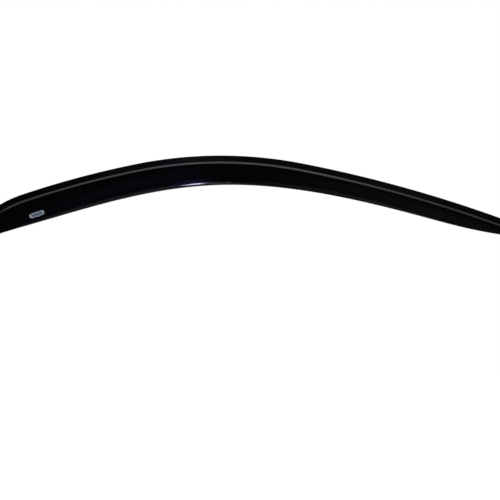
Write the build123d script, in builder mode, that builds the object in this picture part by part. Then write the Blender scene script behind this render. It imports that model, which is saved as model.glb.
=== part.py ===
"""Stick-on rain deflector for the side window of a car.

A dark acrylic sheet is formed to one section along an arched top edge and then trimmed to its outline.
Seen from beside the car, +X points to the front of the car, +Z up and -Y out, away from the glass.
The origin is on the face of the foam tape, at the crown of the arch. Sizes are in millimetres and degrees.
"""

import os
from math import atan2, cos, degrees, radians, sin, tan

from build123d import *

# The sheet, and the round on the outer side of its trimmed edge
sheet = 3.0
edge_round = 1.0

# Top edge: tangent arcs that bend down from the crown, back to the rear corner and forward to the tip
crown_radius = 770.0
crown_rear_turn = 11.4
rear_run_radius = 1700.0
rear_run_turn = 7.2
rear_corner_radius = 215.0
rear_corner_turn = 32.4
crown_front_turn = 11.0
front_run_radius = 2400.0
front_run_turn = 10.6

# Rounded ends, where the top edge turns back into the lower edge
rear_end_radius = 12.0
rear_end_turn = 151.5
tip_radius = 6.0
tip_turn = 163.0

# Depth of the deflector below its top edge, from the rear corner to the nose behind the tip
rear_corner_depth = 56.6
rear_run_depth = 56.5
crown_depth = 53.4
front_bend_depth = 48.6
front_run_depth = 42.4
nose_depth = 36.0
front_run_station = 0.5
nose_station = 0.75

# Section: a flat flange, a sloping shoulder, a bowed blade and a lip that curls in
flange_width = 10.9
shoulder_run = 3.0
shoulder_rise = 3.0
bend_radius = 2.0
blade_lean = 22.0
blade_radius = 130.0
blade_turn = 10.0
lip_radius = 60.0
lip_turn = 26.0

# Foam tape on the flat back of the flange
tape_thickness = 1.1
tape_margin = 1.0
tape_rear_gap = 20.0
tape_front_gap = 35.0

# Spare sheet outside the outline, which the trimming takes off
trim_allowance = 5.0

# The bend at the shoulder's foot takes its tangent length from the flat of the flange
shoulder_angle = atan2(shoulder_rise, shoulder_run)
flange_flat = flange_width - bend_radius * tan(shoulder_angle / 2)
tape_width = flange_flat - 2 * tape_margin
flange_front = tape_thickness + sheet
crown_top = (0, flange_flat / 2)
deepest = max(rear_corner_depth, rear_run_depth, crown_depth, front_bend_depth, front_run_depth, nose_depth)
blade_direction = (sin(radians(blade_lean)), cos(radians(blade_lean)))

# A face whose normal has less of Y than this stands square to the glass
level = 1e-6


def below(arc, station, depth):
    """Point of the lower edge, square to the top edge at a station of one of its arcs."""
    edge_point = arc @ station
    return edge_point + (arc.arc_center - edge_point).normalized() * depth


# Outline: the arcs of the top edge, the two rounded ends and one smooth curve for the lower edge
with BuildLine(Plane.XZ) as outline:
    crown_rear = JernArc(crown_top, (-1, 0), crown_radius, crown_rear_turn)
    rear_run = JernArc(crown_rear @ 1, crown_rear % 1, rear_run_radius, rear_run_turn)
    rear_corner = JernArc(rear_run @ 1, rear_run % 1, rear_corner_radius, rear_corner_turn)
    rear_end = JernArc(rear_corner @ 1, rear_corner % 1, rear_end_radius, rear_end_turn)
    crown_front = JernArc(crown_top, (1, 0), crown_radius, -crown_front_turn)
    front_run = JernArc(crown_front @ 1, crown_front % 1, front_run_radius, -front_run_turn)
    tip = JernArc(front_run @ 1, front_run % 1, tip_radius, -tip_turn)
    lower_edge = Spline(
        rear_end @ 1,
        below(rear_run, 1, rear_corner_depth),
        below(rear_run, 0, rear_run_depth),
        below(crown_front, 0, crown_depth),
        below(front_run, 0, front_bend_depth),
        below(front_run, front_run_station, front_run_depth),
        below(front_run, nose_station, nose_depth),
        tip @ 1,
        tangents=(rear_end % 1, -(tip % 1)),
    )


def runs(rear_spare, front_spare):
    """Plane, axis and turn that carry a section along each arc, past the two ends by the spare lengths."""
    rear_arcs = [(crown_rear, 0, -1), (rear_run, 0, -1), (rear_corner, rear_spare, -1)]
    front_arcs = [(crown_front, 0, 1), (front_run, front_spare, 1)]
    for arc, spare, forward in rear_arcs + front_arcs:
        plane = Plane(arc @ 0, x_dir=(0, -1, 0), z_dir=(arc % 0) * forward)
        axis = Axis(arc.arc_center, (0, forward, 0))
        yield plane, axis, degrees((arc.length + spare) / arc.radius)


# Section of the formed sheet: X is the distance out from the tape's face, Y the depth below the top edge.
# Below the lip the sheet runs on straight for as far as the outline is deep, so the outline always cuts it.
with BuildSketch() as sheet_section:
    with BuildLine() as outer_line:
        flange = Line((flange_front, -trim_allowance), (flange_front, flange_width))
        shoulder = Line(flange @ 1, (flange_front + shoulder_rise, flange_width + shoulder_run))
        blade = JernArc(shoulder @ 1, blade_direction, blade_radius, blade_turn)
        lip = JernArc(blade @ 1, blade % 1, lip_radius, lip_turn)
        PolarLine(lip @ 1, deepest, direction=lip % 1)
        foot, brow = outer_line.vertices().sort_by(Axis.Y)[1:3]
        fillet(foot, bend_radius)
        fillet(brow, bend_radius + sheet)
        offset(amount=sheet, side=Side.LEFT)
    make_face()

# Shell: formed past its ends, trimmed square to the glass, then rounded along the outer side of the edge
with BuildPart() as deflector_shell:
    for plane, axis, turn in runs(2 * rear_end_radius, 2 * tip_radius):
        with BuildSketch(plane):
            add(sheet_section.sketch)
        revolve(axis=axis, revolution_arc=turn)
    with BuildSketch(Plane.XZ):
        make_face(outline.edges())
    extrude(amount=sheet_section.sketch.bounding_box().max.X + trim_allowance, mode=Mode.INTERSECT)
    trimmed_edge = deflector_shell.faces().filter_by(lambda face: abs(face.normal_at().Y) < level)
    outer_skin = deflector_shell.faces().filter_by(lambda face: face.normal_at().Y < -level)
    fillet(trimmed_edge.edges() & outer_skin.edges(), edge_round)

# Tape: a flat strip along the flange, square at both ends
with BuildSketch() as tape_section:
    with Locations((0, tape_margin)):
        Rectangle(tape_thickness, tape_width, align=Align.MIN)
with BuildPart() as mounting_tape:
    for plane, axis, turn in runs(-tape_rear_gap, -tape_front_gap):
        with BuildSketch(plane):
            add(tape_section.sketch)
        revolve(axis=axis, revolution_arc=turn)

deflector_shell.part.label = "deflector_shell"
mounting_tape.part.label = "mounting_tape"
os.makedirs("parts", exist_ok=True)
export_step(deflector_shell.part, "parts/deflector_shell.step")
export_step(mounting_tape.part, "parts/mounting_tape.step")
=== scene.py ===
# %% [markdown]
# # A rain deflector for a car window
# A rain deflector is a strip of smoke-black acrylic that sticks to the door frame above a side window,
# so that the window can stay open a little in the rain. Its measured solids are loaded first, as a frame
# that nothing here moves. Then each piece gets its final surface and finish, and the last steps set up
# the light and the camera.

import bmesh
import bpy
import numpy as np
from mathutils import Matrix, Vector


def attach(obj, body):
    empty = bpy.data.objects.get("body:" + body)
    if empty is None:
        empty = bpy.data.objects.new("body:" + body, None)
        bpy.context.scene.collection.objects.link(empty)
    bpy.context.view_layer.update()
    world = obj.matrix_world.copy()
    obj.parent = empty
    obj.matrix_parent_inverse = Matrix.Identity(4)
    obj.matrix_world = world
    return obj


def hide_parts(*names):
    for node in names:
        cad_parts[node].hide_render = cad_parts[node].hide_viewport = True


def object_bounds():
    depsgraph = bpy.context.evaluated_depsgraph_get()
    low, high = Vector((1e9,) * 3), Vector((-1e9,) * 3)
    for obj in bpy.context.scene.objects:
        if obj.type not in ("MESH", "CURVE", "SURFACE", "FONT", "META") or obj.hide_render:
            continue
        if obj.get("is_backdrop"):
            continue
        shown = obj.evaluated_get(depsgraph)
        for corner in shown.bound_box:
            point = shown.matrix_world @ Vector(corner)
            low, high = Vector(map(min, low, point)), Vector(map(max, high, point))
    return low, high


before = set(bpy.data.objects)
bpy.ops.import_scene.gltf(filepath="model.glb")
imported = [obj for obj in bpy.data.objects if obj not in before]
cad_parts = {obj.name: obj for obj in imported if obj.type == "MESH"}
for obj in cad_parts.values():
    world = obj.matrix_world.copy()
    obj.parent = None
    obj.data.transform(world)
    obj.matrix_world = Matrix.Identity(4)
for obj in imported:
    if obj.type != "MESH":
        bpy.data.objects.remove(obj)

cad_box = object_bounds()
mm = 0.001
print("nodes in the frame:", ", ".join(sorted(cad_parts)))

# %% [markdown]
# ## The top edge
# The flange sticks along the door frame, so the top edge is a chain of arcs that meet without a corner:
# a rear corner, a long rear run, the crown and a nearly straight front run. A curve object drawn by hand
# could follow it, but the solid is made of arcs, and a formula gives any number of their points at once.
# The same formula serves for the section later on, because that is a chain of arcs as well.

# %% Follow a chain of arcs
def arc(radius, degrees):
    """Length and turn of an arc: the length is the radius times the turn in radians."""
    turn = np.radians(degrees)
    return radius * abs(turn), turn


def chord(length, turn, heading):
    """Chord of an arc: length * sin(turn / 2) / (turn / 2), towards heading + turn / 2.

    A straight piece doesn't turn, and is its own chord.
    """
    reach = length * np.sinc(turn / (2 * np.pi))
    return np.stack([reach * np.cos(heading + turn / 2), reach * np.sin(heading + turn / 2)], -1)


def follow(chain, start, heading, distance):
    """Points and headings at the given distances along a chain of tangent arcs.

    Each arc begins where the sum of the chords before it ends. A point lies on from there by the chord
    of the share of its arc that has been travelled. The first and the last arc go on past the ends.
    """
    lengths, turns = np.transpose(chain)
    begins = np.cumsum(lengths) - lengths
    headings = heading + np.cumsum(turns) - turns
    chords = chord(lengths, turns, headings)
    starts = start + np.cumsum(chords, 0) - chords
    which = np.clip(np.searchsorted(begins, distance, "right") - 1, 0, len(chain) - 1)
    travelled = distance - begins[which]
    turned = turns[which] * travelled / lengths[which]
    return starts[which] + chord(travelled, turned, headings[which]), headings[which] + turned


print("a quarter turn to the left, of radius 1, ends at", chord(*arc(1, 90), 0).round(3))

# %% Arcs of the top edge
crown_radius = 770 * mm
rear_corner = arc(215 * mm, -32.4)
rear_run = arc(1700 * mm, -7.2)
crown_rear = arc(crown_radius, -11.4)
crown_front = arc(crown_radius, -11.0)
front_run = arc(2400 * mm, -10.6)
top_chain = [rear_corner, rear_run, crown_rear, crown_front, front_run]
arc_lengths, arc_turns = np.transpose(top_chain)
arc_begins = np.cumsum(arc_lengths) - arc_lengths
rear_run_at, crown_rear_at, crown_at, front_run_at = arc_begins[1:]
edge_length = arc_lengths.sum()
print(f"top edge: {edge_length / mm:.1f} mm along {len(top_chain)} arcs")

# %% Places below the top edge
flange_width = 10.9 * mm
shoulder_run, shoulder_rise = 3 * mm, 3 * mm
bend_radius = 2 * mm

# The origin is halfway down the flat of the flange, which the bend at the shoulder's foot shortens
shoulder_slope = np.arctan2(shoulder_rise, shoulder_run)
foot_setback = bend_radius * np.tan(shoulder_slope / 2)
flange_flat = flange_width - foot_setback
crown_point = np.array([0, flange_flat / 2])

# The edge is level at the crown, so it sets out at the angle that the arcs up to there turn it back by
rear_heading = -(rear_corner[1] + rear_run[1] + crown_rear[1])
edge_start = crown_point - follow(top_chain, 0, rear_heading, crown_at)[0]


def inward(heading):
    """Direction a quarter turn to the right of a heading: below the top edge, or into the sheet."""
    return np.stack([np.sin(heading), -np.cos(heading)], -1)


def place(along, depth):
    """Point in the plane of the glass: a distance along the top edge, then a depth square below it."""
    point, heading = follow(top_chain, edge_start, rear_heading, along)
    return point + np.asarray(depth)[..., None] * inward(heading)


print("crown of the top edge, in mm:", (place(crown_at, 0) / mm).round(2))

# %% [markdown]
# ## The trimmed outline
# After forming, the sheet is trimmed to its outline. Both ends are rounded, and the lower edge is one
# smooth curve that comes closer to the top edge towards the pointed front. A curve object could draw it,
# but its handles would be guesses, so a cubic is laid through a few measured depths. For the surface it
# is handy to know the outline as depths below the top edge, so a second function turns points back into
# a distance along the edge and a depth.

# %% Rounded ends and points of the lower edge
rear_end = arc(12 * mm, -151.5)
tip = arc(6 * mm, -163.0)
rim_chain = [rear_end] + top_chain + [tip]
rim_heading = rear_heading - rear_end[1]
rim_start = edge_start - chord(*rear_end, rim_heading)
rim_length = rear_end[0] + edge_length + tip[0]
rim_ends, end_headings = follow(rim_chain, rim_start, rim_heading, np.array([0, rim_length]))

front_middle_at = front_run_at + 0.5 * front_run[0]
nose_at = front_run_at + 0.75 * front_run[0]
depth_at = np.array([rear_run_at, crown_rear_at, crown_at, front_run_at, front_middle_at, nose_at])
depths = np.array([56.6, 56.5, 53.4, 48.6, 42.4, 36.0]) * mm
lower_points = np.vstack([rim_ends[:1], place(depth_at, depths), rim_ends[1:]])
print(f"lower edge: passes {len(lower_points)} points")

# %% Lower edge as a smooth curve
def smooth_curve(points, first, last, share):
    """Cubic through points, measured along its chords, that leaves and arrives in the given directions.

    The slopes at the inner points are those that keep the second derivative unbroken there: one linear
    equation for each point, solved together. Between two points the curve is the one cubic that has
    their places and slopes, as t goes from 0 to 1.
    """
    gaps = np.linalg.norm(np.diff(points, axis=0), axis=1)
    knots = np.concatenate([[0], np.cumsum(gaps)])
    rises = np.diff(points, axis=0) / gaps[:, None]
    system = np.eye(len(points))
    inner = np.arange(1, len(points) - 1)
    system[inner, inner - 1] = 1 / gaps[:-1]
    system[inner, inner] = 2 / gaps[:-1] + 2 / gaps[1:]
    system[inner, inner + 1] = 1 / gaps[1:]
    wanted = np.vstack([first, 3 * (rises[:-1] / gaps[:-1, None] + rises[1:] / gaps[1:, None]), last])
    slopes = np.linalg.solve(system, wanted)
    where = share * knots[-1]
    span = np.clip(np.searchsorted(knots, where, "right") - 1, 0, len(gaps) - 1)
    t = ((where - knots[span]) / gaps[span])[:, None]
    gap = gaps[span][:, None]
    return (points[span] * (1 + 2 * t) * (1 - t) ** 2 + points[span + 1] * t ** 2 * (3 - 2 * t)
            + slopes[span] * gap * t * (1 - t) ** 2 - slopes[span + 1] * gap * t ** 2 * (1 - t))


def direction(heading):
    """Unit vector of a heading."""
    return np.array([np.cos(heading), np.sin(heading)])


lower_count = 6000
lower_edge = smooth_curve(lower_points, -direction(end_headings[0]), -direction(end_headings[1]),
                          np.linspace(0, 1, lower_count))
print(f"lower edge: from x {lower_edge[0, 0] / mm:.1f} to {lower_edge[-1, 0] / mm:.1f} mm")

# %% From a point back to the top edge
arc_radii = arc_lengths / np.abs(arc_turns)
arc_starts, arc_headings = follow(top_chain, edge_start, rear_heading, arc_begins)
arc_centres = arc_starts + arc_radii[:, None] * inward(arc_headings)


def beside(points):
    """Distance along the top edge and depth below it, the reverse of place.

    Seen from an arc's centre, the direction of a point gives the heading that the arc has beside it. The
    point belongs to the last arc whose first heading it has passed.
    """
    from_centre = points[:, None] - arc_centres
    heading = np.arctan2(-from_centre[..., 0], from_centre[..., 1])
    share = (heading - arc_headings) / arc_turns
    which = np.clip((share >= 0).sum(1) - 1, 0, len(arc_turns) - 1)[:, None]
    along = arc_begins[which] + arc_lengths[which] * np.take_along_axis(share, which, 1)
    depth = arc_radii[which] - np.take_along_axis(np.linalg.norm(from_centre, axis=-1), which, 1)
    return along[:, 0], depth[:, 0]


print(f"lower edge: up to {beside(lower_edge)[1].max() / mm:.1f} mm below the top edge")

# %% Outline as depths below the top edge
rim_count = 12000
rim = follow(rim_chain, rim_start, rim_heading, np.linspace(0, rim_length, rim_count))[0]
loop_along, loop_depth = beside(np.vstack([rim, lower_edge[-2:0:-1]]))
rearmost = loop_along.argmin()
loop_along = np.roll(loop_along, -rearmost)
loop_depth = np.roll(loop_depth, -rearmost)
foremost = loop_along.argmax()
first_along, last_along = loop_along[0], loop_along[foremost]
upper = loop_along[:foremost + 1], loop_depth[:foremost + 1]
lower = tuple(np.append(values[foremost:], values[0])[::-1] for values in (loop_along, loop_depth))
print(f"outline: {first_along / mm:.1f} to {last_along / mm:.1f} mm along the top edge")

# %% [markdown]
# ## The section
# Cut across, the sheet is a flat flange for the tape, a sloping shoulder that lifts it off the door, a
# blade that bows out and a lip that curls in again. It could be drawn as a curve's profile, but each bend
# is an arc, so the section is a chain of arcs too, in depth below the top edge and distance out from the
# glass. The back of the sheet is the same line moved in by the sheet's thickness.

# %% Bends of the section
sheet = 3 * mm
blade_lean = np.radians(22)
blade_radius, blade_turn = 130 * mm, 10
lip_radius, lip_turn = 60 * mm, 26

# The round at the brow takes its length from the shoulder and from the start of the blade
brow_radius = bend_radius + sheet
brow_setback = brow_radius * np.tan((shoulder_slope - blade_lean) / 2)
blade_spent = np.degrees(brow_setback / blade_radius)
section = [
    (flange_flat, 0),
    arc(bend_radius, np.degrees(shoulder_slope)),
    (np.hypot(shoulder_run, shoulder_rise) - foot_setback - brow_setback, 0),
    arc(brow_radius, np.degrees(blade_lean - shoulder_slope) - blade_spent),
    arc(blade_radius, blade_spent - blade_turn),
    arc(lip_radius, -lip_turn),
]
section_length = sum(length for length, turn in section)
print(f"section: {section_length / mm:.1f} mm along {len(section)} lines and arcs")

# %% Outer and inner line of the section
tape_thickness = 1.1 * mm
above_edge = 1 * mm
section_count = 6000
outer_line, outer_lean = follow(section, np.array([0, tape_thickness + sheet]), 0,
                                np.linspace(-above_edge, section_length, section_count))
inner_line = outer_line + sheet * inward(outer_lean)


def front_of(depth):
    """Distance of the sheet's front from the glass, read off the outer line of the section."""
    return np.interp(depth, outer_line[:, 0], outer_line[:, 1])


def back_of(depth):
    """Distance of the sheet's back from the glass, read off the inner line of the section."""
    return np.interp(depth, inner_line[:, 0], inner_line[:, 1])


section_depth, section_reach = outer_line[-1, 0], outer_line[:, 1].max()
print(f"section: {section_depth / mm:.1f} mm deep, {section_reach / mm:.2f} mm out at the most")

# %% [markdown]
# ## The shell's surface
# The shell could be a swept curve with a boolean cut, but a boolean leaves long thin faces that spoil a
# mirror finish. Here it is one grid. One direction runs along the top edge, the other round the sheet:
# down the front, across the cut edge, up the back and across the cut edge again. Stations crowd together
# at the two ends, and rows at the bends, where the sheet curves most.

# %% Stations along the shell
rear_zone, tip_zone = 14 * mm, 10 * mm
end_stations, run_stations = 27, 320
closing = np.linspace(0, 1, end_stations) ** 2
stations = np.concatenate([
    first_along + rear_zone * closing,
    np.linspace(first_along + rear_zone, last_along - tip_zone, run_stations)[1:-1],
    (last_along - tip_zone * closing)[::-1],
])
top_depth = np.interp(stations, *upper)[:, None]
low_depth = np.interp(stations, *lower)[:, None]
print(f"shell: up to {(low_depth - top_depth).max() / mm:.1f} mm deep at {len(stations)} stations")

# %% Rows across the shell
edge_round = 1 * mm
narrow_share = 0.3
edge_rows, blade_rows = 6, 78
bends_from, bends_to = 8.4 * mm, 17 * mm
bend_crowding = 6

# Rows are evenly spaced in a running count that rises faster at the bends
depth_table = np.linspace(-1, 70, 2000) * mm
crowd_table = np.cumsum(np.where((depth_table > bends_from) & (depth_table < bends_to), bend_crowding, 1))
edge_steps = 1 - np.cos(np.linspace(0, np.pi / 2, edge_rows + 1)[:-1])
edge_reach = np.minimum(edge_round, narrow_share * (low_depth - top_depth))
crowd_top = np.interp(top_depth + edge_reach, depth_table, crowd_table)
crowd_low = np.interp(low_depth - edge_reach, depth_table, crowd_table)
crowd_rows = crowd_top + (crowd_low - crowd_top) * np.linspace(0, 1, blade_rows)
row_depth = np.concatenate([top_depth + edge_reach * edge_steps,
                            np.interp(crowd_rows, crowd_table, depth_table),
                            (low_depth - edge_reach * edge_steps)[:, ::-1]], 1)
row_along = np.broadcast_to(stations[:, None], row_depth.shape)
print(f"shell grid: {row_depth.shape[0]} stations of {row_depth.shape[1]} rows on each side")

# %% [markdown]
# ### The cut edge
# The trimmed edge is scraped to a small round on its outer side. A Bevel modifier would have to find that
# edge in the finished mesh, so the round is worked into the grid instead: near the outline the front
# drops back along a quarter circle, and the back has a much smaller one.

# %% Round the cut edge
back_round = 0.35 * mm
least_slope = 1e-9


def rim_distance(depth):
    """Distance of each grid point from the outline.

    The product of the depth below the top edge and the height above the lower edge is zero on the
    outline. Divided by the length of its own slope, it is the distance from the outline for points that
    are near it.
    """
    total, product = top_depth + low_depth, top_depth * low_depth
    total_rate = np.gradient(total[:, 0], stations)[:, None]
    product_rate = np.gradient(product[:, 0], stations)[:, None]
    which = np.clip(np.searchsorted(arc_begins, stations, "right") - 1, 0, len(arc_begins) - 1)[:, None]
    shrink = 1 - depth / arc_radii[which]
    slope = np.hypot(total - 2 * depth, (total_rate * depth - product_rate) / shrink)
    return (total * depth - product - depth ** 2) / np.maximum(slope, least_slope)


def rounded(distance, radius):
    """How far a quarter-round of a radius drops below the flat, at a distance in from the edge."""
    left = radius - np.clip(distance, 0, radius)
    return radius - np.sqrt(radius ** 2 - left ** 2)


from_rim = rim_distance(row_depth)
front = front_of(row_depth) - rounded(from_rim, edge_round)
back = back_of(row_depth) + rounded(from_rim, back_round)
flat = place(row_along, row_depth)
outer_grid = np.stack([flat[..., 0], -front, flat[..., 1]], -1)
inner_grid = np.stack([flat[..., 0], -back, flat[..., 1]], -1)
print(f"cut edge: {(front - back).min() / mm:.2f} mm thick at its thinnest")

# %% [markdown]
# ### From grid to mesh
# Each station's points are a ring round the sheet. Rings could be bridged by hand in edit mode, but the
# grid's own numbering gives all the faces at once. The last ring at each end has shrunk to a line, and
# its doubled points are merged, which closes the mesh. Numbers that the finish needs later, such as how
# near a point is to the cut, are kept with the points.

# %% Put a grid into a mesh
merge_distance = 1e-7
cubic_cm = 1e-6


def into_scene(name, data):
    """New object of a mesh, a lamp or a camera, linked to the scene at the origin."""
    made = bpy.data.objects.new(name, data)
    bpy.context.scene.collection.objects.link(made)
    return made


def closed_piece(name, grid, marks):
    """Closed mesh of a grid whose rows are rings: each ring's last point joins its first.

    Each face takes a point, the next one on its ring, and the same two on the next ring. An end ring that
    has shrunk to a few points is merged. Each mark is a number for every point, kept as an attribute.
    """
    rings, count = grid.shape[:2]
    ring, here = np.meshgrid(np.arange(rings - 1), np.arange(count), indexing="ij")
    after = (here + 1) % count
    faces = np.stack([ring * count + here, ring * count + after,
                      (ring + 1) * count + after, (ring + 1) * count + here], -1)
    mesh = bpy.data.meshes.new(name)
    mesh.from_pydata(grid.reshape(-1, 3).tolist(), [], faces.reshape(-1, 4).tolist())
    for mark, values in marks.items():
        layer = mesh.attributes.new(mark, "FLOAT", "POINT")
        layer.data.foreach_set("value", values.astype(np.float32).ravel())
    merged = bmesh.new()
    merged.from_mesh(mesh)
    bmesh.ops.remove_doubles(merged, verts=merged.verts, dist=merge_distance)
    volume = merged.calc_volume(signed=True)
    merged.to_mesh(mesh)
    merged.free()
    mesh.shade_smooth()
    piece = into_scene(name, mesh)
    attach(piece, "root")
    triangles = sum(len(face.vertices) - 2 for face in mesh.polygons)
    print(f"{name}: {triangles} triangles, {volume / cubic_cm:.2f} cm3")
    return piece


print("points closer than", merge_distance, "m are merged")

# %% Mesh of the shell
shell_grid = np.concatenate([outer_grid, inner_grid[:, ::-1]], 1)
cut_mark = 1 - np.clip(from_rim / edge_round, 0, 1)
shell = closed_piece("acrylic_shell", shell_grid, {
    "cut": np.concatenate([cut_mark ** 2, (from_rim < back_round)[:, ::-1]], 1),
    "inside": np.concatenate([np.zeros_like(from_rim), np.ones_like(from_rim)], 1),
    "along": np.concatenate([row_along, row_along], 1),
})
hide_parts("deflector_shell")

# %% [markdown]
# ## The blank plate
# A small silver plate sits on the blade near its rear end, in line with the top edge. It is left blank. A
# flattened cube would float over the bowed blade, so the plate is laid out in distances along and below
# the top edge, and each of its points takes its height from the blade under it.

# %% Plate on the blade
plate_centre = np.array([-330.4, -101.1]) * mm
plate_along, plate_depth = (value[0] for value in beside(plate_centre[None]))
half_length, half_height = 14.2 * mm, 4.2 * mm
profile_share = np.array([0.0, 0.72, 0.78, 0.84, 0.92, 0.97, 1.0])
profile_height = np.array([0.22, 0.22, 0.26, 0.46, 0.5, 0.36, 0.0]) * mm


def plate_grid(rings, segments):
    """Rounded plate: |x / a| ** 4 + |y / b| ** 4 = share ** 4, as share runs from the middle to the rim.

    The top stands on the blade by a height that depends on the share, with a raised border. The underside
    lies on the blade, and runs back from the rim to the middle.
    """
    share = np.sin(np.linspace(0, np.pi / 2, rings))[:, None]
    turn = np.linspace(0, 2 * np.pi, segments, endpoint=False)
    across = share * half_length * np.sign(np.cos(turn)) * np.sqrt(np.abs(np.cos(turn)))
    down = share * half_height * np.sign(np.sin(turn)) * np.sqrt(np.abs(np.sin(turn)))
    height = np.interp(share, profile_share, profile_height)
    depth = plate_depth + down
    spot = place(plate_along + across, depth)
    top = np.stack([spot[..., 0], -front_of(depth) - height, spot[..., 1]], -1)
    under = np.stack([spot[..., 0], -front_of(depth), spot[..., 1]], -1)
    values = {"border": np.broadcast_to(share, across.shape), "across": across, "down": down}
    marks = {mark: np.vstack([value, value[-2::-1]]) for mark, value in values.items()}
    return np.vstack([top, under[-2::-1]]), marks


plate = closed_piece("blank_plate", *plate_grid(rings=24, segments=96))
print(f"plate: {plate_along / mm:.1f} mm along the top edge and {plate_depth / mm:.1f} mm below it")

# %% [markdown]
# ## Finishes
# A shader is a formula for the surface. Drawn as a graph it is hard to read back, so a small class lets
# the nodes be written as expressions: adding or multiplying two wires adds a Math node, and one method
# adds any other node.

# %% Write shaders as expressions
class Wire:
    """One socket of a node tree. Arithmetic on it adds Math nodes, and node() adds any other kind."""

    def __init__(self, tree, socket=None):
        self.tree = tree
        self.socket = socket

    def node(self, kind, settings=None, inputs=None, output=0):
        """Add a node of a kind: first its settings, then the values or wires of its inputs."""
        made = self.tree.nodes.new(kind)
        for name, value in (settings or {}).items():
            setattr(made, name, value)
        for name, value in (inputs or {}).items():
            if isinstance(value, Wire):
                self.tree.links.new(value.socket, made.inputs[name])
            else:
                made.inputs[name].default_value = value
        return Wire(self.tree, made.outputs[output])

    def into(self, node, name):
        """Link this socket to an input of a node."""
        self.tree.links.new(self.socket, node.inputs[name])

    def math(self, operation, first, second):
        """Add a Math node for an operation on two values or wires."""
        return self.node("ShaderNodeMath", {"operation": operation}, {0: first, 1: second})

    def __add__(self, other):
        return self.math("ADD", self, other)

    def __sub__(self, other):
        return self.math("SUBTRACT", self, other)

    def __rsub__(self, other):
        return self.math("SUBTRACT", other, self)

    def __mul__(self, other):
        return self.math("MULTIPLY", self, other)

    def __gt__(self, other):
        return self.math("GREATER_THAN", self, other)

    __radd__ = __add__
    __rmul__ = __mul__


print("a wire takes + - * and >, with a number or another wire")

# %% [markdown]
# ### Smoke-black acrylic
# The sheet is tinted so deeply that it looks black, and forming leaves it as smooth as glass. What shows
# is what it mirrors. A perfect mirror looks like a computer's, though: the real sheet has a slow ripple
# from the oven, a faint haze from wiping, a satin cut edge and a duller back. A picture of such marks
# could be laid over it, but noise needs no file and has no seams.

# %% Patterns in the acrylic
def new_finish(name, constants):
    """Material, shader and wire: what is the same all over the surface is set on the shader's sockets."""
    material = bpy.data.materials.new(name)
    material.use_nodes = True
    shader = material.node_tree.nodes["Principled BSDF"]
    for socket, value in constants.items():
        shader.inputs[socket].default_value = value
    return material, shader, Wire(material.node_tree)


def spot_on(wire):
    """Place of a point on its object, in metres."""
    return wire.node("ShaderNodeTexCoord", output="Object")


def mark_on(wire, name):
    """Number that the mesh keeps for each point under a name."""
    return wire.node("ShaderNodeAttribute", {"attribute_name": name}, output="Fac")


def noise(wire, where, scale, detail):
    """Soft random pattern, with about as many spots to one unit of the place as the scale says."""
    return wire.node("ShaderNodeTexNoise", None, {"Vector": where, "Scale": scale, "Detail": detail})


acrylic, acrylic_shader, acrylic_wire = new_finish("smoke_acrylic", {"IOR": 1.49})
acrylic_spot = spot_on(acrylic_wire)
haze = noise(acrylic_wire, acrylic_spot, scale=22, detail=4)
ripple = noise(acrylic_wire, acrylic_spot, scale=26, detail=1)
peel = noise(acrylic_wire, acrylic_spot, scale=700, detail=2)
tooling = acrylic_wire.node("ShaderNodeTexNoise", {"noise_dimensions": "1D"},
                            {"W": mark_on(acrylic_wire, "along"), "Scale": 1600, "Detail": 2})
shell.data.materials.append(acrylic)
print("patterns in the acrylic:", sum("Noise" in node.name for node in acrylic.node_tree.nodes))

# %% Colour, gloss and relief of the acrylic
def mixed(wire, share, first, second):
    """Colour between two others."""
    return wire.node("ShaderNodeMix", {"data_type": "RGBA"}, {0: share, 6: first, 7: second}, 2)


def emboss(wire, relief, shader):
    """Let a relief, in metres, tilt the surface for the light."""
    wire.node("ShaderNodeBump", None, {"Height": relief, "Distance": 1.0}).into(shader, "Normal")


cut = mark_on(acrylic_wire, "cut")
inside = mark_on(acrylic_wire, "inside")
clean_tint, hazy_tint = (0.0006, 0.0006, 0.0008, 1), (0.0010, 0.0010, 0.0013, 1)
cut_tint = (0.016, 0.015, 0.014, 1)
tint = mixed(acrylic_wire, haze, clean_tint, hazy_tint)
mixed(acrylic_wire, cut, tint, cut_tint).into(acrylic_shader, "Base Color")

polish, haze_dulls, cut_dulls, back_dulls = 0.012, 0.02, 0.24, 0.1
(polish + haze_dulls * haze + cut_dulls * cut + back_dulls * inside).into(acrylic_shader, "Roughness")

ripple_height, peel_height, tooling_height = 0.008 * mm, 0.0002 * mm, 0.004 * mm
acrylic_relief = ripple_height * ripple + peel_height * peel + tooling_height * cut * tooling
emboss(acrylic_wire, acrylic_relief, acrylic_shader)
print("acrylic:", len(acrylic.node_tree.nodes), "nodes")

# %% [markdown]
# ### Foam tape
# The tape on the back of the flange is a dense black foam with a sticky face. Its cells are too fine to
# model, so they are cells of a texture that dent the surface, and only the sticky face is smooth. The
# tape keeps its solid's own mesh, because the shape of that is right.

# %% Tape finish
foam, foam_shader, foam_wire = new_finish("foam_tape", {"IOR": 1.45})
foam_spot = spot_on(foam_wire)
sticky_layer = 0.05 * mm
towards_glass = foam_wire.node("ShaderNodeSeparateXYZ", None, {"Vector": foam_spot}, "Y")
sticky = towards_glass > -sticky_layer
cells = foam_wire.node("ShaderNodeTexVoronoi", {"feature": "SMOOTH_F1"},
                       {"Vector": foam_spot, "Scale": 2600})
patches = noise(foam_wire, foam_spot, scale=180, detail=3)

dark_foam, pale_foam = (0.022, 0.022, 0.024, 1), (0.062, 0.062, 0.066, 1)
cell_share, patch_share = 0.6, 0.4
mottle = cells * cell_share + patches * patch_share
mixed(foam_wire, mottle, dark_foam, pale_foam).into(foam_shader, "Base Color")

foam_roughness, sticky_smooths, patch_dulls = 0.92, 0.5, 0.1
(foam_roughness - sticky_smooths * sticky + patch_dulls * patches * sticky).into(foam_shader, "Roughness")

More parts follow.
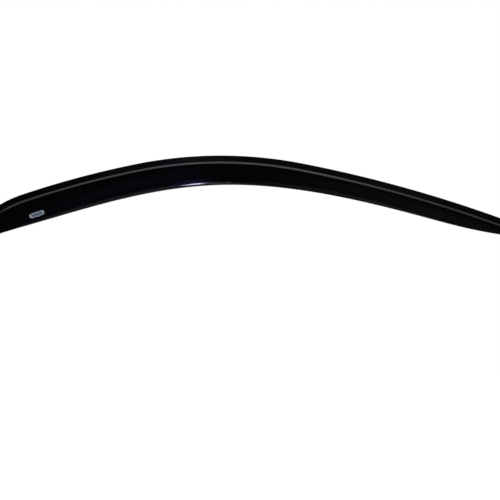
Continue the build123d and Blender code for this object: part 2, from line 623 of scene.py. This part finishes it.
cell_dent, patch_dent, sticky_fills = 0.2 * mm, 0.05 * mm, 0.85
emboss(foam_wire, cells * (1 - sticky_fills * sticky) * cell_dent + patches * patch_dent, foam_shader)
mounting_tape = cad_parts["mounting_tape"]
mounting_tape.data.materials.clear()
mounting_tape.data.materials.append(foam)
print("tape:", len(foam.node_tree.nodes), "nodes")

# %% [markdown]
# ### Silver plate
# The plate is thin foil: fine lines run along it from the rolling mill, its field is dull, and its raised
# border is polished. A picture of brushed metal would do, but noise that is stretched along the plate
# needs no file and follows its curve.

# %% Plate finish
def eased(wire, value, start, end, low=0.0, high=1.0):
    """Smooth step from low to high, as the value goes from start to end."""
    return wire.node("ShaderNodeMapRange", {"interpolation_type": "SMOOTHSTEP"}, {
        "Value": value, "From Min": start, "From Max": end, "To Min": low, "To Max": high})


foil, foil_shader, foil_wire = new_finish("silver_foil", {"Metallic": 0.35, "IOR": 1.5})
lines_along, lines_across = 60, 4000
stretched = foil_wire.node("ShaderNodeCombineXYZ", None, {
    "X": mark_on(foil_wire, "across") * lines_along, "Y": mark_on(foil_wire, "down") * lines_across})
rolling = noise(foil_wire, stretched, scale=1, detail=3)
border_starts, border_full = 0.74, 0.84
border = eased(foil_wire, mark_on(foil_wire, "border"), border_starts, border_full)

dull_line, bright_line = (0.05, 0.07, 0.10, 1), (0.15, 0.19, 0.25, 1)
polished = (0.36, 0.41, 0.48, 1)
field = mixed(foil_wire, rolling, dull_line, bright_line)
mixed(foil_wire, border, field, polished).into(foil_shader, "Base Color")

field_roughness, border_smooths, line_dulls = 0.42, 0.16, 0.12
(field_roughness - border_smooths * border + line_dulls * rolling).into(foil_shader, "Roughness")

line_height = 0.006 * mm
emboss(foil_wire, rolling * line_height, foil_shader)
plate.data.materials.append(foil)
print("plate:", len(foil.node_tree.nodes), "nodes")

# %% [markdown]
# ## Light
# Black gloss is lit by what it mirrors. The shoulder of the section leans back, so it mirrors what hangs
# overhead, and a bright card there draws it as a grey line. The flange and the blade face the camera, and
# dark cards stand on the other sides, as photographers put there to keep black things black. A picture of
# a studio could light it too, but its lights couldn't be moved to suit each bend. Two soft lamps bring
# the light to a plain level, and the world is white, for a white ground.

# %% World
def seen(wire):
    """1 for rays by which the camera sees, also in gloss and through glass, and 0 for the others."""
    straight, gloss, glass = (wire.node("ShaderNodeLightPath", output=kind) for kind in
                              ("Is Camera Ray", "Is Glossy Ray", "Is Transmission Ray"))
    return straight + gloss + glass > 0.5


white = (1, 1, 1, 1)
world = bpy.data.worlds.new("white_room")
bpy.context.scene.world = world
world.use_nodes = True
ambient = 0.5
backdrop = world.node_tree.nodes["Background"]
backdrop.inputs["Color"].default_value = white
(ambient + (1 - ambient) * seen(Wire(world.node_tree))).into(backdrop, "Strength")
print("world: strength", ambient, "on the part, 1 where it is seen or mirrored")

# %% [markdown]
# ### Floor
# The floor is pale and matt. Far from the lamps it would turn grey and show a horizon, so towards its
# edges it also shines a little where the camera sees it. Stronger lamps would hide the horizon too, but
# they would light the part as well. Close to the part the floor shines too little to hide a shadow. It is
# left out of the gloss, because the lip would mirror it as a white band.

# %% Floor
black = (0, 0, 0, 1)
mottle_shade = 0.97


def panel(name, corner, side, rise, colour):
    """Flat four-cornered panel of the stage: a corner, and the two edges that leave it."""
    corner, side, rise = (Vector(edge) for edge in (corner, side, rise))
    mesh = bpy.data.meshes.new(name)
    mesh.from_pydata([corner, corner + side, corner + side + rise, corner + rise], [], [(0, 1, 2, 3)])
    material, shader, wire = new_finish(name, {
        "Roughness": 0.9, "Specular IOR Level": 0.0, "Emission Color": black, "Emission Strength": 1.0})
    darker = tuple(mottle_shade * channel for channel in colour)
    blotches = noise(wire, spot_on(wire), scale=3, detail=3)
    mixed(wire, blotches, (*darker, 1), (*colour, 1)).into(shader, "Base Color")
    mesh.materials.append(material)
    made = into_scene(name, mesh)
    made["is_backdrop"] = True
    return made, shader, wire


floor_height, floor_reach = -1.25, 20
floor_grey = (0.88, 0.88, 0.88)
floor, floor_shader, floor_wire = panel("floor", (-floor_reach, -floor_reach, floor_height),
                                        (2 * floor_reach, 0, 0), (0, 2 * floor_reach, 0), floor_grey)
floor.visible_glossy = False
print(f"floor: {-floor_height} m below the tape")

# %% Shine of the floor
def length_of(wire, vector):
    """Length of a vector."""
    return wire.node("ShaderNodeVectorMath", {"operation": "LENGTH"}, {0: vector}, "Value")


shine_starts, shine_full = 1.5, 6.0
near_shine, far_shine = 0.35, 0.7
away = length_of(floor_wire, spot_on(floor_wire))
shine = eased(floor_wire, away, shine_starts, shine_full, near_shine, far_shine)
mixed(floor_wire, shine * seen(floor_wire), black, white).into(floor_shader, "Emission Color")
print(f"shine of the floor: {near_shine} below the part, {far_shine} from {shine_full} m away")

# %% [markdown]
# ### Cards all round
# The cards show in the gloss alone, so that they take no light away. Soft pools of light on them, as from
# a window and its surroundings, give the blade a faint sheen, the lip a pale lower edge and the back a
# glow in its middle. Each could be a lamp of its own, but a pool has a soft rim, and lights nothing else.
# The card on the ceiling is brightest over the middle of the part, so the line along the shoulder fades
# towards both ends.

# %% Pools of light
card_out, card_top = 7.2, 8.5

# What each pool on the front card is mirrored in: its place, its reach across and up, and its colour
front_lights = {
    "blade on the front run": ((2.3, 3.8), (2.3, 3.4), (0.068, 0.068, 0.085)),
    "blade on the rear run": ((-1.0, 3.0), (1.4, 4.5), (0.036, 0.036, 0.07)),
    "lip on the front run": ((1.2, 1.7), (0.8, 1.2), (0.30, 0.30, 0.38)),
    "lip in front of the crown": ((0.46, 1.1), (0.32, 0.66), (0.25, 0.25, 0.31)),
    "lip close to the crown": ((0.2, 0.75), (0.14, 0.42), (0.12, 0.12, 0.16)),
    "lip at the crown": ((0.03, -0.7), (0.25, 0.92), (0.27, 0.265, 0.31)),
    "lower edge": ((0.15, -1.3), (1.0, 1.9), (0.38, 0.38, 0.52)),
    "flange on the front run": ((0.74, 0.1), (0.5, 0.2), (0.08, 0.08, 0.09)),
    "flange near the tip": ((1.03, -0.01), (0.2, 0.16), (0.045, 0.045, 0.05)),
    "flange behind the crown": ((-0.2, 0.22), (0.25, 0.16), (0.10, 0.11, 0.14)),
    "flange on the rear run": ((-0.5, 0.18), (0.22, 0.12), (0.06, 0.06, 0.07)),
    "lip high above the streak": ((-0.27, 1.0), (0.16, 0.9), (0.12, 0.12, 0.55)),
    "lip above the streak": ((-0.22, 0.58), (0.12, 0.33), (0.13, 0.14, 0.62)),
    "lip round the streak": ((-0.17, -0.1), (0.11, 0.34), (0.24, 0.24, 0.75)),
    "flange, seen from the tip's side": ((-5.8, -0.5), (1.9, 1.7), (0.6, 0.6, 0.63)),
    "flange, seen from the rear": ((5.8, -0.5), (1.9, 1.7), (0.6, 0.6, 0.63)),
}
front_pools = [((x, -card_out, z), (wide, 1, tall), colour)
               for (x, z), (wide, tall), colour in front_lights.values()]

# The same for the ceiling: its place along the part, its reach along it, and its colour
ceiling_lights = {
    "shoulder": (-0.2, 7.5, (1.25, 1.26, 1.31)),
    "shoulder in front of the crown": (1.9, 1.3, (1.27, 1.28, 1.33)),
    "shoulder at the rear corner": (-5.2, 1.8, (0.74, 0.745, 0.775)),
}
ceiling_reach = 12.0
ceiling_pools = [((x, 0, card_top), (wide, ceiling_reach, 1), colour)
                 for x, wide, colour in ceiling_lights.values()]
print("pools for:", "; ".join([*front_lights, *ceiling_lights]))

# %% Cards all round
def glow(shader, wire, base, pools):
    """Soft pools of light on a card: each has a centre, three radii and a colour, and fades to its rim."""
    spot = spot_on(wire)
    total = base
    for centre, radii, colour in pools:
        from_centre = wire.node("ShaderNodeMapping", {"vector_type": "TEXTURE"},
                                {"Vector": spot, "Location": centre, "Scale": radii})
        share = eased(wire, length_of(wire, from_centre), 1.0, 0.0)
        total = mixed(wire, share, total, (*colour, 1))
    total.into(shader, "Emission Color")


card_aside, card_foot, front_foot = 9.0, -12.0, -3.5
window_grey = (0.5, 0.5, 0.52)
back_pools = [((0.6, card_out, -5.5), (6.0, 1, 5.0), window_grey)]
rear_pools = [((-card_aside, 5.0, -8.0), (1, 4.0, 4.0), window_grey)]
nose_pools = [((card_aside, 5.0, -8.0), (1, 4.0, 4.0), window_grey)]

card_black = (0.01, 0.01, 0.011)
dim, overhead = (0.004, 0.004, 0.005, 1), (0.25, 0.25, 0.25, 1)
along_x, along_y = (2 * card_aside, 0, 0), (0, 2 * card_out, 0)
front_rise, full_rise = (0, 0, card_top - front_foot), (0, 0, card_top - card_foot)
for name, corner, side, rise, base, pools in (
    ("front_card", (-card_aside, -card_out, front_foot), along_x, front_rise, dim, front_pools),
    ("back_card", (-card_aside, card_out, card_foot), along_x, full_rise, dim, back_pools),
    ("rear_card", (-card_aside, -card_out, card_foot), along_y, full_rise, dim, rear_pools),
    ("nose_card", (card_aside, -card_out, card_foot), along_y, full_rise, dim, nose_pools),
    ("ceiling_card", (-card_aside, -card_out, card_top), along_x, along_y, overhead, ceiling_pools),
):
    card, card_shader, card_wire = panel(name, corner, side, rise, card_black)
    card.visible_camera = card.visible_diffuse = card.visible_shadow = False
    glow(card_shader, card_wire, base, pools)
    print(f"{name}: pools of light: {len(pools)}")

# %% [markdown]
# ### Lamps
# The two large lamps stand high in front, and are left out of the gloss. Three narrow ones behind the
# camera are mirrored in the lip as a short bright streak, its dim tail and a small glint. They are lamps
# and not pools of light, because their rims have to be sharp.

# %% Large lamps
def soft_lamp(name, where, aim, width, height, watts, colour=(1, 1, 1)):
    """Area lamp at one point that faces another."""
    light = bpy.data.lights.new(name, "AREA")
    light.shape = "RECTANGLE"
    light.size, light.size_y = width, height
    light.energy = watts
    light.color = colour
    lamp = into_scene(name, light)
    lamp.location = where
    lamp.rotation_euler = (Vector(aim) - Vector(where)).to_track_quat("-Z", "Y").to_euler()
    lamp.visible_camera = False
    print(f"{name}: {watts} W")
    return lamp


middle_of_part = (0.05, 0, -0.06)
large_width, large_height = 2.2, 1.4
for name, where, watts in (("left_lamp", (-1.3, -2.4, 2.3), 52), ("right_lamp", (1.5, -2.1, 2.1), 34)):
    soft_lamp(name, where, middle_of_part, large_width, large_height, watts).visible_glossy = False

# %% Narrow lamps
lip_at_crown = (-0.05, 0, -0.05)
behind_camera = -7.0
for name, x, z, width, height, watts, colour in (
    ("streak_lamp", -0.149, -0.41, 0.038, 0.48, 1.5, (0.74, 0.75, 1.0)),
    ("tail_lamp", -0.0995, -0.26, 0.069, 0.60, 0.0764, (1.0, 0.87, 0.92)),
    ("glint_lamp", -0.046, -0.09, 0.008, 0.34, 0.024, (0.96, 0.95, 1.0)),
):
    soft_lamp(name, (x, behind_camera, z), lip_at_crown, width, height, watts, colour)

# %% [markdown]
# ## Camera
# The picture is taken square to the glass from well back, with a long lens, so that the part is hardly
# foreshortened. It is framed so closely that both ends run out of the picture. The camera could be moved
# by hand until that fits, but the width of the view gives the lens at once.

# %% Camera
view_width, view_distance = 0.9, 5.0
view_centre = Vector((52.96 * mm, -10 * mm, -165.3 * mm))
sensor_mm = 36
camera = into_scene("camera", bpy.data.cameras.new("camera"))
camera.data.sensor_width = sensor_mm
camera.data.lens = sensor_mm * view_distance / view_width
camera.location = view_centre - Vector((0, view_distance, 0))
camera.rotation_euler = (np.pi / 2, 0, 0)
bpy.context.scene.camera = camera
bpy.context.scene.view_settings.view_transform = "Standard"
print(f"camera: {camera.data.lens:.0f} mm lens, {view_distance} m away")

# %% [markdown]
# ## Size
# The finish should leave the size of the part alone. The box round the finished part is compared with the
# box round the solids: only the plate stands out past them.

# %% Compare the boxes
visual_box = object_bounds()
grown = (np.array(visual_box) - np.array(cad_box)) / mm
print("grown by, in mm:", grown.round(2).tolist())
